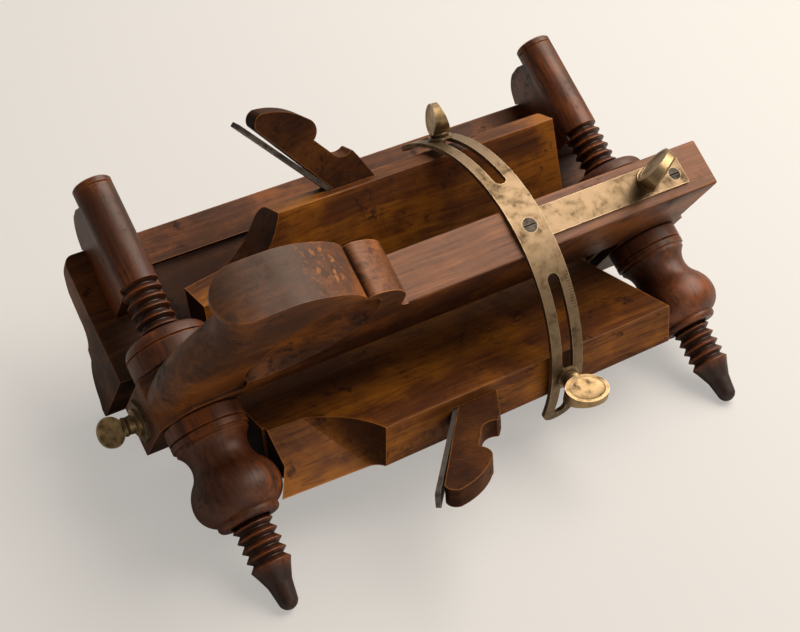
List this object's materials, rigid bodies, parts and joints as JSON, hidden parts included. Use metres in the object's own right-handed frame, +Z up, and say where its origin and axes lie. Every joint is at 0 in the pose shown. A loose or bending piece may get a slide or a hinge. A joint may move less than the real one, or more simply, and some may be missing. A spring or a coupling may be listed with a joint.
{
  "type": "double-bevelling hand plane",
  "caption": "Wooden hand plane whose two hinged bodies cut a matched pair of bevels, set by an arched brass plate, with an adjustable fence on two threaded arms.",
  "frame": {"origin": "centre of the footprint, on the table", "axes": "+X towards the toe along the hinge line, +Z up from the table; the tool leans on its two arm tips and the fence edge"},
  "size_m": [0.4447, 0.3006, 0.2339],
  "materials": {
    "stock_wood": "oiled, worn",
    "body_wood": "oiled, worn",
    "fence_wood": "oiled, worn",
    "arm_wood": "turned, waxed",
    "wedge_wood": "oiled, worn",
    "plate_brass": "aged, tarnished",
    "thumb_brass": "aged, hand-worn",
    "iron_steel": "dark, patinated",
    "screw_steel": "blackened",
    "rod_iron": "dull, oiled"
  },
  "bodies": {
    "stock": {"center_stock": "stock_wood", "brass_plate": "plate_brass", "plate_screws": "screw_steel", "pivot_rod": "rod_iron", "pivot_washer": "plate_brass"},
    "near_side": {"near_plane_body": "body_wood", "near_thread_bush": "plate_brass", "near_hinge_plates": "plate_brass", "near_hinge_screws": "screw_steel"},
    "far_side": {"far_plane_body": "body_wood", "far_thread_bush": "plate_brass", "far_hinge_plates": "plate_brass", "far_hinge_screws": "screw_steel"},
    "near_blade": {"near_iron": "iron_steel"},
    "far_blade": {"far_iron": "iron_steel"},
    "near_key": {"near_wedge": "wedge_wood"},
    "far_key": {"far_wedge": "wedge_wood"},
    "near_clamp": {"near_thumb_screw": "thumb_brass"},
    "far_clamp": {"far_thumb_screw": "thumb_brass"},
    "top_screw": {"top_thumb_screw": "thumb_brass"},
    "pivot_nut": {"pivot_thumb_nut": "thumb_brass"},
    "stop": {"depth_stop": "plate_brass"},
    "fence_carriage": {"fence": "fence_wood", "rear_arm": "arm_wood", "front_arm": "arm_wood", "arm_screws": "screw_steel"},
    "nut_rear_outer": {"rear_outer_nut": "arm_wood"},
    "nut_front_outer": {"front_outer_nut": "arm_wood"},
    "nut_rear_inner": {"rear_inner_nut": "arm_wood"},
    "nut_front_inner": {"front_inner_nut": "arm_wood"}
  },
  "joints": [
    {"name": "near_side_hinge", "type": "hinge", "parent": "stock", "child": "near_side", "pos_m": [0.01335, 0.02585, 0.05369], "axis": [1, 0, 0], "range_deg": [-24, 16]},
    {"name": "far_side_hinge", "type": "hinge", "parent": "stock", "child": "far_side", "pos_m": [0.01335, 0.02585, 0.05369], "axis": [1, 0, 0], "range_deg": [-16, 24]},
    {"name": "near_iron_slide", "type": "slide", "parent": "near_side", "child": "near_blade", "axis": [-0.6613, -0.7332, 0.1584], "range_m": [-0.001, 0.05]},
    {"name": "far_iron_slide", "type": "slide", "parent": "far_side", "child": "far_blade", "axis": [-0.682, 0.2283, 0.6948], "range_m": [-0.001, 0.05]},
    {"name": "near_wedge_slide", "type": "slide", "parent": "near_side", "child": "near_key", "axis": [-0.6613, -0.7332, 0.1584], "range_m": [0, 0.06]},
    {"name": "far_wedge_slide", "type": "slide", "parent": "far_side", "child": "far_key", "axis": [-0.682, 0.2283, 0.6948], "range_m": [0, 0.06]},
    {"name": "near_clamp_spin", "type": "hinge", "parent": "near_side", "child": "near_clamp", "pos_m": [0.06335, -0.08878, 0.0629], "axis": [0, -0.9968, 0.08], "range_deg": [0, 720]},
    {"name": "far_clamp_spin", "type": "hinge", "parent": "far_side", "child": "far_clamp", "pos_m": [0.06335, 0.07589, 0.15723], "axis": [0, 0.4351, 0.9004], "range_deg": [0, 720]},
    {"name": "pivot_nut_spin", "type": "hinge", "parent": "stock", "child": "pivot_nut", "pos_m": [-0.20665, 0.02585, 0.05369], "axis": [-1, 0, 0], "range_deg": [0, 720]},
    {"name": "top_screw_spin", "type": "hinge", "parent": "stock", "child": "top_screw", "pos_m": [0.16235, -0.02933, 0.15], "axis": [0, -0.4971, 0.8677], "range_deg": [0, 2880]},
    {"name": "depth_stop_slide", "type": "slide", "parent": "stock", "child": "stop", "axis": [0, 0.4971, -0.8677], "range_m": [0, 0.0119]},
    {"name": "fence_slide", "type": "slide", "parent": "stock", "child": "fence_carriage", "axis": [0, 0.8677, 0.4971], "range_m": [-0.01, 0.03]},
    {"name": "nut_rear_outer_spin", "type": "hinge", "parent": "stock", "child": "nut_rear_outer", "pos_m": [-0.16435, -0.04033, 0.0485], "axis": [0, 0.8677, 0.4971], "range_deg": [-1640, 550]},
    {"name": "nut_front_outer_spin", "type": "hinge", "parent": "stock", "child": "nut_front_outer", "pos_m": [0.19295, -0.04033, 0.0485], "axis": [0, 0.8677, 0.4971], "range_deg": [-1640, 550]},
    {"name": "nut_rear_inner_spin", "type": "hinge", "parent": "stock", "child": "nut_rear_inner", "pos_m": [-0.16435, 0.03777, 0.09324], "axis": [0, 0.8677, 0.4971], "range_deg": [-1640, 550]},
    {"name": "nut_front_inner_spin", "type": "hinge", "parent": "stock", "child": "nut_front_inner", "pos_m": [0.19295, 0.03777, 0.09324], "axis": [0, 0.8677, 0.4971], "range_deg": [-1640, 550]}
  ],
  "couplings": [
    {"joint": "top_screw_spin", "follows": "depth_stop_slide", "rad_per_m": 4188.8},
    {"joint": "nut_rear_outer_spin", "follows": "fence_slide", "rad_per_m": -952},
    {"joint": "nut_front_outer_spin", "follows": "fence_slide", "rad_per_m": -952},
    {"joint": "nut_rear_inner_spin", "follows": "fence_slide", "rad_per_m": -952},
    {"joint": "nut_front_inner_spin", "follows": "fence_slide", "rad_per_m": -952}
  ]
}
